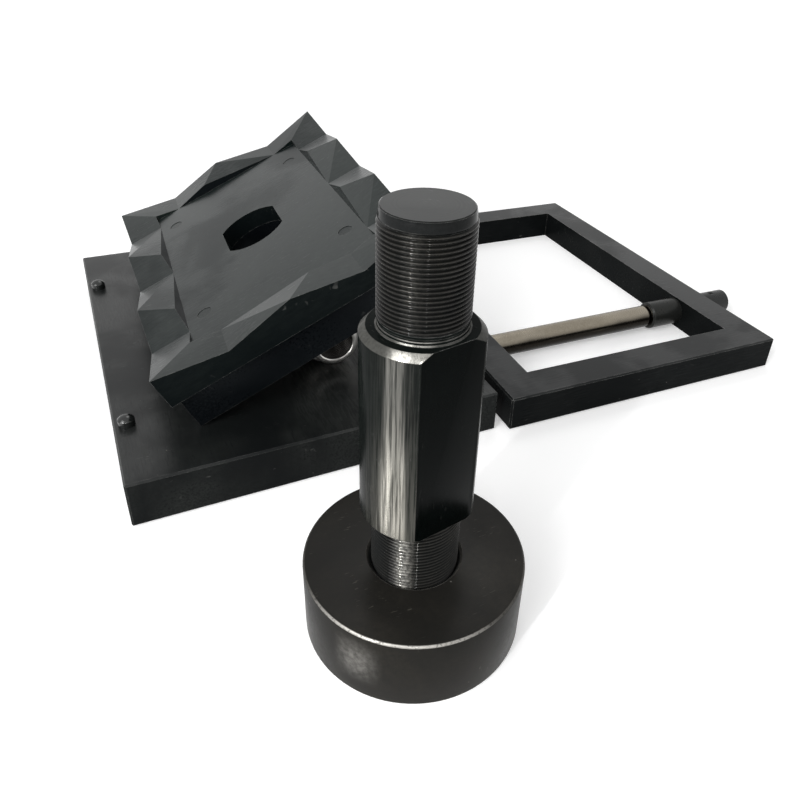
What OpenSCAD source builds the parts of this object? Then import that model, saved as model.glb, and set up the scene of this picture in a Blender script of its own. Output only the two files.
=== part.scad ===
// Hydraulic knockout punch set for rectangular openings, laid out on a bench.
// The base plate, the die and the nut stand on z = 0, and the origin is the centre of the
// base plate's underside. The punch lies tilted on the plate, propped by a round adapter.

/* [Die] */
// Clear width of the die opening, left to right
opening_w = 144.4; // [128:0.1:161]
// Clear length of the die opening, front to back
opening_l = 212.2; // [183.5:0.1:238.5]
// Width of the die's walls
die_wall = 21.1; // [19:0.1:28.5]
// Height of the die
die_h = 20; // [19.5:0.5:28.5]
// Gap between the base plate and the die on the bench
die_gap = 10.4; // [7.8:0.1:33]
// How far the die lies towards the front of the base plate's middle
die_forward = 6.8; // [-11.1:0.1:22]
// How far the die is turned on the bench, in degrees
die_turn = -1.7; // [-2:0.1:2]

/* [Base plate] */
// Height of the base plate
plate_h = 23.9; // [20:0.1:33]
// Chamfer along the edges of the plate and the die
edge_chamfer = 0.9; // [0.5:0.1:1.6]
// Radius of the register in the underside that centres the cylinder
register_r = 33.5; // [31.5:0.1:40]
// Depth of that register
register_depth = 5.5; // [3.4:0.1:7.7]
// Outer radius of the guide bush
bush_r = 26.5; // [25:0.1:27.5]
// Radius of the guide bush's flange
flange_r = 38; // [37:0.1:44]
// Thickness of the guide bush's flange
flange_h = 4.5; // [4:0.5:6.5]
// Radius of the guide bush's screws
bush_screw_r = 2.5; // [2:0.25:2.5]
// Length of the guide bush's screws
bush_screw_l = 11; // [9:0.5:12]

/* [Locating pins] */
// Radius of the four locating pins
pin_r = 4; // [3.5:0.25:5]
// Height of the pins above the plate
pin_rise = 5.5; // [4.5:0.1:8.5]
// Length of a pin inside the plate
pin_seat = 13; // [9:0.1:16.5]
// Distance of a pin's axis from the plate's long edge
pin_edge = 6.4; // [6.2:0.1:8.5]
// Distance between the front and the back pins
pin_spacing = 156.7; // [151.5:0.1:162]
// How far the four pins lie towards the front of the plate's middle
pins_forward = 3.9; // [0:0.1:6.6]

/* [Cross bar] */
// Radius of the cross bar
bar_r = 7.2; // [6.2:0.1:7.5]
// Height of the cross bar's axis above the bench
bar_z = 10; // [9.5:0.1:10.5]
// Distance of the cross bar from the middle of the die, towards the front
bar_forward = 60; // [52.5:0.5:63]
// Depth of the bar's socket in the left wall
bar_socket = 8.9; // [5.6:0.1:13]
// Length of the bar bush inside the opening
bar_bush_l = 23.3; // [13.5:0.1:37.5]
// Wall of the bar bush where it is pressed into the die
bar_bush_wall = 1.1; // [0.9:0.1:1.3]
// Length of the knob outside the die
knob_l = 22.2; // [16:0.1:37.5]
// Radius of the knob
knob_r = 8; // [7.6:0.1:9]
// Radius of the bar's turned-down end, inside the knob
bar_end_r = 5; // [3.9:0.1:5.5]

/* [Punch] */
// Shear clearance between punch and die on each side
shear_gap = 0.15; // [0.1:0.05:0.5]
// Number of teeth along the short sides, counted from corner to corner
teeth_w = 2; // [1:1:3]
// Number of teeth along the long sides, counted from corner to corner
teeth_l = 3; // [1:1:4]
// Height of a tooth at the cutting edge
tooth_h = 7.3; // [3.4:0.1:10]
// Angle at which the ridges between the corners lean from straight inwards, in degrees
tooth_lean = 37; // [0:1:45]
// Height of a ridge between the corners where it ends on the face
tooth_end_h = 4.4; // [1.2:0.1:5]
// Height of a corner's ridge where it ends on the face
corner_end_h = 2.9; // [1.2:0.1:4.3]
// Run of the slope that ends each ridge between the corners
tooth_end_run = 2.7; // [1.2:0.1:4.4]
// Depth of the toothed border, from the edge to the flat face
tooth_land = 21.1; // [16:0.1:24]
// Thickness of the cutter under the teeth
cutter_h = 10.4; // [9:0.1:15.5]
// Thickness of the punch's backing plate
backing_h = 19.6; // [18:0.1:26.5]
// How far the backing plate stands in from the cutter's edge
backing_inset = 3.6; // [2.3:0.1:5.5]
// Distance of the punch's screws from its long edges
screw_from_side = 30.95; // [26:0.05:38]
// Distance of the punch's screws from its short edges
screw_from_end = 44.85; // [34:0.05:56]
// Radius of the punch's screws
punch_screw_r = 4; // [3:0.25:4]

/* [Punch on the bench] */
// Angle at which the punch leans, in degrees
punch_tilt = 25.3; // [20:0.1:30]
// How far the punch is turned on the plate, in degrees
punch_turn = -2.75; // [-3:0.25:2]
// Distance of the punch's lower edge from the plate's left edge
punch_edge_x = 43.4; // [37:0.1:46.5]
// How far the punch lies towards the back of the plate's middle
punch_back = 5; // [-5.6:0.1:8.5]

/* [Draw stud] */
// Radius of the upper thread
top_thread_r = 15; // [12.5:0.25:15.5]
// Radius of the lower thread
low_thread_r = 16.5; // [13.5:0.25:17]
// Thread pitch of the stud and the nut
thread_pitch = 1.5; // [1:0.25:2]
// Radius of the stud's body
body_r = 20.5; // [19.5:0.25:22]
// Distance across the body's two flats
body_flats = 32.8; // [32.5:0.1:35.5]
// Height of the body's lower end above the bench
body_z = 56.7; // [50:0.1:66.5]
// Length of the body between the threads
body_l = 75; // [61.5:0.5:88.5]
// Length of the upper thread with its undercut
top_thread_l = 38.9; // [28:0.1:50]
// Length of the undercut below the upper thread
undercut_l = 2.9; // [2.3:0.1:4.4]
// Direction that one flat faces, in degrees from +X
flat_turn = -80; // [-180:1:180]

/* [Counter nut] */
// Radius of the counter nut
nut_r = 42.2; // [36:0.1:50]
// Height of the counter nut
nut_h = 31.7; // [24.5:0.1:38.5]
// Chamfer on the nut's rims
nut_chamfer = 1.3; // [0.7:0.1:2.7]
// Distance of the nut from the base plate's front edge
nut_gap = 47.7; // [36:0.1:88.5]
// How far the nut stands to the right of the plate's middle
nut_right = 3.1; // [-33.3:0.1:44]

/* [Adapter] */
// Radius of the adapter's body
adapter_r = 16.7; // [14.5:0.1:18.5]
// Length of the adapter's body
adapter_l = 48.9; // [33.5:0.1:66.5]
// Radius of the adapter's turned nose
nose_r = 12.9; // [12.5:0.1:13.5]
// Length of the adapter's nose
nose_l = 8.9; // [5.6:0.1:13]
// Radius of the adapter's tapped hole
tapped_r = 8.9; // [5.6:0.1:9]
// Depth of that hole
tapped_depth = 24.4; // [13.5:0.1:31]
// Distance of the nose's end from the punch's front end
nose_inset = 25.8; // [20:0.1:35.5]

/* [Fits] */
// Radial clearance of the threads and the sliding bar
running_gap = 0.05; // [0.02:0.01:0.1]
// Radial clearance of pins, screws and bushes in their seats
seat_fit = 0.03; // [0.01:0.01:0.05]
// Radial clearance of the pins in the die
pin_clearance = 0.25; // [0.1:0.05:0.5]
// Gap under and beside pieces that only lie on each other
rest_gap = 0.2; // [0.15:0.05:0.3]
// Clearance of the draw stud's body in the punch's hole
hole_gap = 0.4; // [0.2:0.1:0.8]

/* [Hidden] */
$fn = 96;

eps = 0.01;
black_oxide = [0.16, 0.17, 0.17];
dark_steel = [0.23, 0.23, 0.24];
bright_steel = [0.72, 0.72, 0.70];

// The plate and the die have the same outline
die_w = opening_w + 2 * die_wall;
die_l = opening_l + 2 * die_wall;
plate_w = die_w;
plate_l = die_l;
die_x = plate_w / 2 + die_gap + die_w / 2;
pin_x = plate_w / 2 - pin_edge;
pin_y = pin_spacing / 2;
// Each pair of signs is one corner: front left, front right, back right, back left
CORNERS = [[-1, -1], [1, -1], [1, 1], [-1, 1]];
PIN_PLACES = [for (c = CORNERS) [c[0] * pin_x, c[1] * pin_y - pins_forward, 0]];

// Guide bush and its countersunk screws
bush_bore_r = body_r + running_gap;
bush_screw_circle = (bush_r + flange_r) / 2;
bush_head_r = 1.6 * bush_screw_r;
bush_head_h = bush_head_r - bush_screw_r;

// Cross bar: the bush is pressed through the right wall
bar_bush_seat_r = bar_r + running_gap + bar_bush_wall;
bar_bush_shoulder = 0.45 * bar_bush_wall;
bar_bush_r = bar_bush_seat_r + bar_bush_shoulder;
bar_end_gap = 0.5;
bar_left = -opening_w / 2 - bar_socket + bar_end_gap;
knob_end_l = knob_l / 4;
bar_shoulder = die_w / 2 - 1;
bar_right = die_w / 2 + knob_l - knob_end_l;
bar_neck_l = 0.35 * bar_r;
bar_neck_r = 0.75 * bar_r;
knob_screw_r = knob_r / 4;
knob_screw_bite = 1;
knob_screw_at = knob_l / 2 - 2;

// Punch
punch_w = opening_w - 2 * shear_gap;
punch_l = opening_l - 2 * shear_gap;
punch_h = cutter_h + backing_h;
backing_w = punch_w - 2 * backing_inset;
backing_l = punch_l - 2 * backing_inset;
hole_r = body_r + hole_gap;
hole_flats = body_flats + 2 * hole_gap;
punch_screw_x = punch_w / 2 - screw_from_side;
punch_screw_y = punch_l / 2 - screw_from_end;
screw_head_r = 1.6 * punch_screw_r;
screw_head_h = 2 * punch_screw_r;
tooth_root = 0.15 * tooth_h;
corner_end_run = 0.4;
screw_sunk = 0.5;

// Draw stud and nut
stud_y = -plate_l / 2 - nut_gap - nut_r;
stud_foot = 0.07 * nut_h;
thread_depth = 0.61 * thread_pitch;
undercut_r = top_thread_r - thread_depth / 3;
shoulder_chamfer = 2.4;
end_cone = thread_depth;
end_cone_l = 3.1;
nose_chamfer = 1.6;
tapped_chamfer = 0.6;
body_top = body_z + body_l;
nut_bore_r = low_thread_r + running_gap;

// Adapter: its axis lies where it touches the plate and the punch's underside
prop_x = (adapter_r * (1 + cos(punch_tilt)) + rest_gap) / sin(punch_tilt);
nose_forward = backing_l / 2 - nose_inset;

// A rectangle about the origin with its corners cut off
function cut_rect(a, b, c) = [
    [-a / 2 + c, -b / 2], [a / 2 - c, -b / 2], [a / 2, -b / 2 + c], [a / 2, b / 2 - c],
    [a / 2 - c, b / 2], [-a / 2 + c, b / 2], [-a / 2, b / 2 - c], [-a / 2, -b / 2 + c]
];

// A block on z = 0 with all its edges chamfered
module chamfered_block(w, l, h, c) {
    intersection() {
        linear_extrude(h) polygon(cut_rect(w, l, c));
        translate([0, l, h / 2]) rotate([90, 0, 0]) linear_extrude(2 * l) polygon(cut_rect(w, h, c));
        translate([-w, 0, h / 2]) rotate([90, 0, 90]) linear_extrude(2 * w) polygon(cut_rect(l, h, c));
    }
}

// A round bar on z = 0 with chamfered ends
module turned_bar(r, h, low_c, top_c, top_rise = 0) {
    rise = max(top_c, top_rise);
    rotate_extrude()
        polygon([[0, 0], [r - low_c, 0], [r, low_c], [r, h - rise], [r - top_c, h], [0, h]]);
}

// The double-D outline of the stud's body and of the punch's hole
module double_d(r, flats, h) {
    intersection() {
        cylinder(r = r, h = h);
        translate([-flats / 2, -r - 1, 0]) cube([flats, 2 * r + 2, h]);
    }
}

// A cap screw with its head on z = 0 and its shank upwards
module cap_screw(r, head_r, head_h, shank_l) {
    difference() {
        union() {
            turned_bar(head_r, head_h, 0.4, 0.1);
            cylinder(r = r, h = head_h + shank_l);
        }
        translate([0, 0, -eps]) cylinder(r = 0.75 * r, h = 0.55 * head_h, $fn = 6);
    }
}

// Places a piece of the die, with the die's middle at the origin
module on_die() {
    translate([die_x, -die_forward, 0]) rotate([0, 0, die_turn]) children();
}

// Places a piece along the cross bar's axis, with x along the bar
module on_bar(x) {
    on_die() translate([x, -bar_forward, bar_z]) rotate([0, 90, 0]) children();
}

// Places a piece at the bottom of the knob screw's hole, pointing out of the knob
module on_knob_screw() {
    on_bar(die_w / 2 + rest_gap)
        translate([-bar_end_r + knob_screw_bite, 0, knob_screw_at]) rotate([0, -90, 0]) children();
}

// Turned on the plate about the middle of the punch's lower edge
module on_lower_edge() {
    translate([punch_edge_x - plate_w / 2, punch_back, plate_h + rest_gap])
        rotate([0, 0, punch_turn]) children();
}

// Places a piece of the punch, with the middle of its underside at the origin
module on_punch() {
    on_lower_edge() rotate([0, -punch_tilt, 0]) translate([backing_w / 2, 0, 0]) children();
}

module bush_screw_seat(i) {
    rotate([0, 0, 45 + 90 * i]) translate([bush_screw_circle, 0, plate_h]) children();
}

module base_plate() {
    color(black_oxide)
    difference() {
        chamfered_block(plate_w, plate_l, plate_h, edge_chamfer);
        translate([0, 0, -1]) cylinder(r = register_r, h = register_depth + 1);
        translate([0, 0, -1]) cylinder(r = bush_r + seat_fit, h = plate_h + 2);
        translate([0, 0, plate_h - flange_h - seat_fit]) cylinder(r = flange_r + seat_fit, h = flange_h + 1);
        for (p = PIN_PLACES)
            translate(p + [0, 0, plate_h - pin_seat - seat_fit])
                cylinder(r = pin_r + seat_fit, h = pin_seat + 1);
        for (i = [0 : 3])
            bush_screw_seat(i)
                translate([0, 0, -bush_screw_l - 0.5]) cylinder(r = bush_screw_r + seat_fit, h = bush_screw_l);
    }
}

module guide_bush() {
    color(dark_steel)
    difference() {
        union() {
            translate([0, 0, register_depth]) cylinder(r = bush_r, h = plate_h - register_depth);
            translate([0, 0, plate_h - flange_h]) cylinder(r = flange_r, h = flange_h);
        }
        translate([0, 0, -1]) cylinder(r = bush_bore_r, h = plate_h + 2);
        translate([0, 0, plate_h - 1]) cylinder(r1 = bush_bore_r, r2 = bush_bore_r + 1 + eps, h = 1 + eps);
        for (i = [0 : 3])
            bush_screw_seat(i) {
                translate([0, 0, -flange_h - 1]) cylinder(r = bush_screw_r + seat_fit, h = flange_h + 2);
                translate([0, 0, -bush_head_h])
                    cylinder(r1 = bush_screw_r + seat_fit, r2 = bush_head_r + seat_fit, h = bush_head_h);
                translate([0, 0, -eps]) cylinder(r = bush_head_r + seat_fit, h = 1);
            }
    }
}

module bush_screw(i) {
    color(dark_steel)
    bush_screw_seat(i)
    difference() {
        rotate_extrude()
            polygon([
                [0, -bush_screw_l], [bush_screw_r, -bush_screw_l], [bush_screw_r, -bush_head_h],
                [bush_head_r - 0.1, -0.1], [0, -0.1]
            ]);
        translate([0, 0, -bush_head_h]) cylinder(r = 0.7 * bush_screw_r, h = bush_head_h + 1, $fn = 6);
    }
}

// A locating pin with a domed end
module locating_pin(i) {
    dome = 1.25 * pin_r;
    pin_l = pin_seat + pin_rise;
    color(dark_steel)
    translate(PIN_PLACES[i] + [0, 0, plate_h - pin_seat])
    rotate_extrude()
        intersection() {
            square([pin_r, pin_l]);
            union() {
                translate([0, pin_l - dome]) circle(r = dome);
                square([pin_r, pin_l - dome]);
            }
        }
}

module die_frame() {
    color(black_oxide)
    on_die()
    difference() {
        chamfered_block(die_w, die_l, die_h, edge_chamfer);
        translate([-opening_w / 2, -opening_l / 2, -1]) cube([opening_w, opening_l, die_h + 2]);
        for (p = PIN_PLACES)
            translate(p - [0, 0, 1]) cylinder(r = pin_r + pin_clearance, h = pin_rise + 2);
        translate([0, -bar_forward, bar_z]) rotate([0, 90, 0]) {
            translate([0, 0, -opening_w / 2 - bar_socket])
                cylinder(r = bar_r + running_gap, h = bar_socket + 1);
            translate([0, 0, opening_w / 2 - 1])
                cylinder(r = bar_bush_seat_r + seat_fit, h = die_wall + 2);
        }
    }
}

module bar_bush() {
    color(dark_steel)
    on_bar(opening_w / 2)
    difference() {
        union() {
            cylinder(r = bar_bush_seat_r, h = die_wall);
            translate([0, 0, -bar_bush_l]) turned_bar(bar_bush_r, bar_bush_l, 1, 0.1);
        }
        translate([0, 0, -bar_bush_l - 1])
            cylinder(r = bar_r + running_gap, h = bar_bush_l + die_wall + 2);
    }
}

module cross_bar() {
    neck_at = opening_w / 2 - bar_bush_l - bar_neck_l - 0.5;
    color(bright_steel)
    difference() {
        on_bar(0)
        rotate_extrude()
            polygon([
                [0, bar_left], [bar_r - 0.8, bar_left], [bar_r, bar_left + 0.8], [bar_r, neck_at],
                [bar_neck_r, neck_at + 0.5], [bar_neck_r, neck_at + bar_neck_l - 0.5],
                [bar_r, neck_at + bar_neck_l], [bar_r, bar_shoulder], [bar_end_r, bar_shoulder],
                [bar_end_r, bar_right], [0, bar_right]
            ]);
        on_knob_screw() cylinder(r = knob_screw_r + seat_fit, h = knob_r);
    }
}

module bar_knob() {
    color(black_oxide)
    on_bar(die_w / 2 + rest_gap)
    difference() {
        turned_bar(knob_r, knob_l - rest_gap, 0.8, 1.6);
        translate([0, 0, -1])
            cylinder(r = bar_end_r + seat_fit, h = bar_right - die_w / 2 + 1 + seat_fit);
        translate([-bar_end_r + knob_screw_bite, 0, knob_screw_at]) rotate([0, -90, 0])
            cylinder(r = knob_screw_r + seat_fit, h = knob_r);
    }
}

// Grub screw that holds the knob on the bar
module knob_screw() {
    screw_l = knob_r - bar_end_r + knob_screw_bite - 0.5;
    color(dark_steel)
    on_knob_screw()
    difference() {
        translate([0, 0, seat_fit]) cylinder(r = knob_screw_r, h = screw_l);
        translate([0, 0, screw_l / 2]) cylinder(r = 0.55 * knob_screw_r, h = screw_l, $fn = 6);
    }
}

// Half a tooth with its peak at the origin and its valley on +x, y leading inwards.
// At a corner the ridge runs along the diagonal. Elsewhere it leans towards its own valley,
// or away from it where way is -1.
module half_tooth(half_pitch, corner, way) {
    m = corner ? 1 : way * tan(tooth_lean);
    ridge = tooth_land - (corner ? corner_end_run : tooth_end_run);
    end_h = corner ? corner_end_h : tooth_end_h;
    polyhedron(
        points = [
            [0, 0, tooth_h], [half_pitch, 0, 0], [half_pitch, tooth_land, 0],
            [m * ridge, ridge, end_h], [m * tooth_land, tooth_land, 0],
            [0, 0, -tooth_root], [half_pitch, 0, -tooth_root],
            [half_pitch, tooth_land, -tooth_root], [m * tooth_land, tooth_land, -tooth_root]
        ],
        faces = [
            [0, 2, 1], [0, 3, 2], [3, 4, 2],
            [0, 1, 6, 5], [1, 2, 7, 6], [2, 4, 8, 7],
            [0, 5, 8, 4, 3], [5, 6, 7, 8]
        ]
    );
}

// The teeth of one side, from the corner at the origin along +x
module tooth_row(side, teeth) {
    half_pitch = side / (2 * teeth);
    for (i = [0 : teeth - 1]) {
        translate([2 * i * half_pitch, 0, 0]) half_tooth(half_pitch, i == 0, 1);
        translate([2 * (i + 1) * half_pitch, 0, 0]) mirror([1, 0, 0])
            half_tooth(half_pitch, i == teeth - 1, -1);
    }
}

module punch_teeth() {
    for (k = [0, 1]) {
        rotate([0, 0, 180 * k]) translate([-punch_w / 2, -punch_l / 2, 0]) tooth_row(punch_w, teeth_w);
        rotate([0, 0, 180 * k]) translate([punch_w / 2, -punch_l / 2, 0]) rotate([0, 0, 90])
            tooth_row(punch_l, teeth_l);
    }
}

module punch_cutter() {
    color(black_oxide)
    on_punch() translate([0, 0, backing_h])
    difference() {
        union() {
            translate([-punch_w / 2, -punch_l / 2, 0]) cube([punch_w, punch_l, cutter_h]);
            translate([0, 0, cutter_h]) punch_teeth();
        }
        translate([0, 0, -1]) double_d(hole_r, hole_flats, cutter_h + 2);
        for (c = CORNERS)
            translate([c[0] * punch_screw_x, c[1] * punch_screw_y, -1])
                cylinder(r = punch_screw_r + seat_fit, h = cutter_h + 2);
    }
}

module punch_backing() {
    color(black_oxide)
    on_punch()
    difference() {
        translate([-backing_w / 2, -backing_l / 2, 0]) cube([backing_w, backing_l, backing_h]);
        translate([0, 0, -1]) double_d(hole_r, hole_flats, backing_h + 2);
        for (c = CORNERS)
            translate([c[0] * punch_screw_x, c[1] * punch_screw_y, -1]) {
                cylinder(r = punch_screw_r + seat_fit, h = backing_h + 2);
                cylinder(r = screw_head_r + 2 * rest_gap, h = screw_head_h + screw_sunk + 1);
            }
    }
}

module punch_screw(i) {
    color(dark_steel)
    on_punch()
    translate([CORNERS[i][0] * punch_screw_x, CORNERS[i][1] * punch_screw_y, screw_sunk - seat_fit])
        cap_screw(punch_screw_r, screw_head_r, screw_head_h,
                  punch_h - screw_head_h - screw_sunk - rest_gap);
}

module adapter() {
    color(bright_steel)
    on_lower_edge()
    translate([prop_x, -nose_forward, adapter_r]) rotate([-90, 0, 0])
    difference() {
        union() {
            turned_bar(nose_r, nose_l + 1, nose_chamfer, 0.1);
            translate([0, 0, nose_l]) turned_bar(adapter_r, adapter_l, 1, 1);
        }
        translate([0, 0, -1]) cylinder(r = tapped_r, h = tapped_depth + 1);
        translate([0, 0, -eps])
            cylinder(r1 = tapped_r + tapped_chamfer, r2 = tapped_r, h = tapped_chamfer);
    }
}

module draw_stud() {
    color(dark_steel)
    translate([nut_right, stud_y, 0]) rotate([0, 0, flat_turn]) {
        translate([0, 0, stud_foot])
            turned_bar(low_thread_r, body_z - stud_foot + 1, thread_depth, 0.1);
        intersection() {
            translate([0, 0, body_z]) turned_bar(body_r, body_l, 1.2, shoulder_chamfer);
            translate([0, 0, body_z]) double_d(body_r + 1, body_flats, body_l);
        }
        translate([0, 0, body_top - 1]) cylinder(r = undercut_r, h = undercut_l + 1.5);
        translate([0, 0, body_top + undercut_l])
            turned_bar(top_thread_r, top_thread_l - undercut_l, thread_depth, end_cone, end_cone_l);
    }
}

module counter_nut() {
    color(black_oxide)
    translate([nut_right, stud_y, 0])
    difference() {
        turned_bar(nut_r, nut_h, nut_chamfer, nut_chamfer);
        translate([0, 0, -1]) cylinder(r = nut_bore_r, h = nut_h + 2);
        translate([0, 0, nut_h - thread_depth])
            cylinder(r1 = nut_bore_r, r2 = nut_bore_r + thread_depth + eps, h = thread_depth + eps);
        translate([0, 0, -eps])
            cylinder(r1 = nut_bore_r + thread_depth + eps, r2 = nut_bore_r, h = thread_depth + eps);
    }
}

base_plate();
guide_bush();
bush_screw(0);  // bush_screw_1
bush_screw(1);  // bush_screw_2
bush_screw(2);  // bush_screw_3
bush_screw(3);  // bush_screw_4
locating_pin(0);  // locating_pin_1
locating_pin(1);  // locating_pin_2
locating_pin(2);  // locating_pin_3
locating_pin(3);  // locating_pin_4
die_frame();
bar_bush();
cross_bar();
bar_knob();
knob_screw();
punch_cutter();
punch_backing();
punch_screw(0);  // punch_screw_1
punch_screw(1);  // punch_screw_2
punch_screw(2);  // punch_screw_3
punch_screw(3);  // punch_screw_4
adapter();
draw_stud();
counter_nut();
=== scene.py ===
"""Knockout punch set: the turned and threaded pieces, the finish of every surface, and the studio.

The packed solids are the fixed frame. Pieces whose solids have the right shape get a material,
and the threaded pieces are made again here with real helical threads.
"""

import math

import bmesh
import bpy
from mathutils import Euler, Matrix, Vector


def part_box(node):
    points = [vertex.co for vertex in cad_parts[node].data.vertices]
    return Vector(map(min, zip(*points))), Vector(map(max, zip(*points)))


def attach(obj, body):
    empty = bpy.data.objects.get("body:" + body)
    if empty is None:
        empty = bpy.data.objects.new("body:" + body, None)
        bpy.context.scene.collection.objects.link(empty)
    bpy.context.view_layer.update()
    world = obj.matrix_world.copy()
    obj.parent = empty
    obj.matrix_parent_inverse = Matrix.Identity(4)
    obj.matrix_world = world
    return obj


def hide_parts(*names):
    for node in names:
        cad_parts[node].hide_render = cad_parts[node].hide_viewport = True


bl_info = {
    "name": "Knockout Punch Set",
    "version": (1, 0, 0),
    "blender": (4, 5, 0),
    "location": "View3D > Sidebar > Punch Set",
    "description": "Threads, metal finishes and studio for a rectangular knockout punch set",
    "category": "Add Mesh",
}

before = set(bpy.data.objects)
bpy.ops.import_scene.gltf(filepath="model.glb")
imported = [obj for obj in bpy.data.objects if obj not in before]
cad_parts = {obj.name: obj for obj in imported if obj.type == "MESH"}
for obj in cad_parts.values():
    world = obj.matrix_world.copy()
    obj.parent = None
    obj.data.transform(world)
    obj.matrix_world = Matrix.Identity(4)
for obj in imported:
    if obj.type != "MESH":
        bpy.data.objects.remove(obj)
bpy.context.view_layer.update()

MM = 0.001

# Meshes: steps round a full turn and round a rim, the angle of an edge that stays crisp, and
# the distance within which points of a thread and its lids are joined
SEGMENTS = 96
ARC_STEPS = 4
SHARP = math.radians(30)
SEAM = 1e-6

# Threads: rows of the mesh for each pitch, and the shares of half a pitch that are crest and flank
THREAD_ROWS = 8
CREST_SHARE = 0.2
FLANK_SHARE = 0.6

# The frame's own origin and axes
ORIGIN = (0, 0, 0)
NO_TURN = (0, 0, 0)
AS_BUILT = (ORIGIN, NO_TURN)

# Tones of single pieces. A pair is the tone and that of its clouds
DIE_CLOUD = (0.010, 0.011, 0.011)
SLEEVE_CLOUD = (0.03, 0.029, 0.026)
BAR_TONES = ((0.30, 0.27, 0.22), (0.20, 0.175, 0.135))
# Painted shade on the underside of the cross bar
BAR_UNDERSIDE_SHADE = (0.016, 0.014, 0.011)
CUTTER_TONES = ((0.0015, 0.0036, 0.0036), (0.0135, 0.0178, 0.0165))
# Near black: the backing plate's own tone, and the painted shade on the cutter's walls
BLACK_AND_SHADE = (0.001, 0.0016, 0.0022)
BACKING_TONES = (BLACK_AND_SHADE, (0.005, 0.006, 0.007))
THREAD_CLOUD = (0.010, 0.0095, 0.008)
CREST_RUBBED = (0.048, 0.046, 0.041)
# Bare steel of the thread's band, partly wear and partly a painted reflection
THREAD_BARE_AND_SHEEN = (0.62, 0.60, 0.55)
BODY_TONES = ((0.003, 0.0042, 0.0040), (0.010, 0.012, 0.011))
FLAT_TONES = ((0.0006, 0.0012, 0.0011), (0.002, 0.003, 0.0028))
CONE_TONES = ((0.003, 0.0035, 0.0035), (0.010, 0.011, 0.011))
NUT_TONES = ((0.010, 0.0097, 0.0088), (0.021, 0.019, 0.0155))
# Bare steel of the nut's worn rims and of its painted highlights
NUT_BARE_AND_HIGHLIGHT = (0.60, 0.58, 0.54)
ADAPTER_TONES = ((0.72, 0.71, 0.68), (0.45, 0.44, 0.41))
# Painted shade: the adapter's tapped hole, darkened inside
BORE_SHADE_TONES = ((0.012, 0.011, 0.010), (0.04, 0.038, 0.034))
FLOOR_TONES = ((0.86, 0.86, 0.86), (0.88, 0.88, 0.88))

# Bare steel of the stud's body, at its upper and at its lower end; the lower one is brighter and
# warmer as a painted reflection of the lit floor
BODY_BARE_AND_SHEEN = ((0.40, 0.39, 0.36), (0.80, 0.77, 0.68))

# Middle of the set, where the lamps point
LAMP_AIM = (0.055, -0.055, 0.033)


# Settings


def setting(kind, **fixed):
    """A maker of properties of one kind, each from its name, description and default."""
    return lambda name, description, default: kind(
        name=name, description=description, default=default, **fixed
    )


number = setting(bpy.props.FloatProperty)
metres = setting(bpy.props.FloatProperty, unit="LENGTH")
angle_of = setting(bpy.props.FloatProperty, unit="ROTATION")
point = setting(bpy.props.FloatVectorProperty, subtype="TRANSLATION")
colour_of = setting(bpy.props.FloatVectorProperty, subtype="COLOR", min=0, max=1)


class StudSizes(bpy.types.PropertyGroup):
    """Sizes of the draw stud and of the threads that fit it"""

    pitch: metres("Pitch", "Thread pitch", 1.5 * MM)
    depth: metres("Depth", "Depth of the thread", 0.915 * MM)
    top_radius: metres("Top thread", "Radius of the upper thread", 15 * MM)
    top_length: metres("Top length", "Length of the upper thread", 36 * MM)
    end_cone: bpy.props.FloatVectorProperty(
        name="End cone", description="How far the upper end narrows, and over what length",
        default=(0.9 * MM, 3.1 * MM), size=2, unit="LENGTH",
    )
    undercut: metres("Undercut", "Length of the undercut under the upper thread", 2.9 * MM)
    low_radius: metres("Low thread", "Radius of the lower thread", 16.5 * MM)
    body_radius: metres("Body", "Radius of the body", 20.5 * MM)
    body_foot: metres("Body foot", "Height of the body's lower end", 56.7 * MM)
    body_length: metres("Body length", "Length of the body", 75 * MM)
    across_flats: metres("Across flats", "Distance across the two flats", 32.8 * MM)
    flat_turn: angle_of("Flat turn", "Direction that one flat faces", math.radians(-80))
    shoulder: metres("Shoulder", "Chamfer on the body's upper end", 2.4 * MM)
    # The band down that side is bare steel, partly wear and partly a painted reflection
    worn_side: angle_of(
        "Worn side", "Direction of the rubbed band, from the flat's", math.radians(-56)
    )


class AdapterSizes(bpy.types.PropertyGroup):
    """Sizes of the adapter that props the punch"""

    radius: metres("Radius", "Radius of the body", 16.7 * MM)
    length: metres("Length", "Length of the body", 48.9 * MM)
    nose_radius: metres("Nose radius", "Radius of the turned nose", 12.9 * MM)
    nose_length: metres("Nose length", "Length of the turned nose", 8.9 * MM)
    tapped_radius: metres("Tapped radius", "Inner radius of the tapped hole", 8.9 * MM)
    tapped_depth: metres("Tapped depth", "Depth of the tapped hole", 24.4 * MM)


class PunchPlace(bpy.types.PropertyGroup):
    """How the punch leans on the plate, so that its marks run along its own edges"""

    tilt: angle_of("Tilt", "Angle at which the punch leans", math.radians(25.3))
    turn: angle_of("Turn", "Turn of the punch on the plate", math.radians(-2.75))
    edge: point(
        "Lower edge", "Middle of the edge that the punch rests on", (-49.9 * MM, 5 * MM, 24.1 * MM)
    )
    die_turn: angle_of("Die turn", "Turn of the die on the bench", math.radians(-1.7))


class FinishColours(bpy.types.PropertyGroup):
    """Colours of the metal finishes"""

    oxide: colour_of("Black oxide", "Blackened steel", (0.004, 0.0048, 0.005))
    oxide_rubbed: colour_of(
        "Rubbed oxide", "Blackened steel where it is rubbed thin", (0.018, 0.0195, 0.0185)
    )
    bare_steel: colour_of("Bare steel", "Steel where the oxide is worn off", (0.45, 0.45, 0.43))
    warm_steel: colour_of("Warm steel", "Bare steel with a brown film of oil", (0.40, 0.37, 0.31))
    polished: colour_of("Polished steel", "Ground and polished steel", (0.60, 0.59, 0.57))
    dust: colour_of("Dust", "Pale dust and metal grit", (0.30, 0.29, 0.27))


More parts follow.
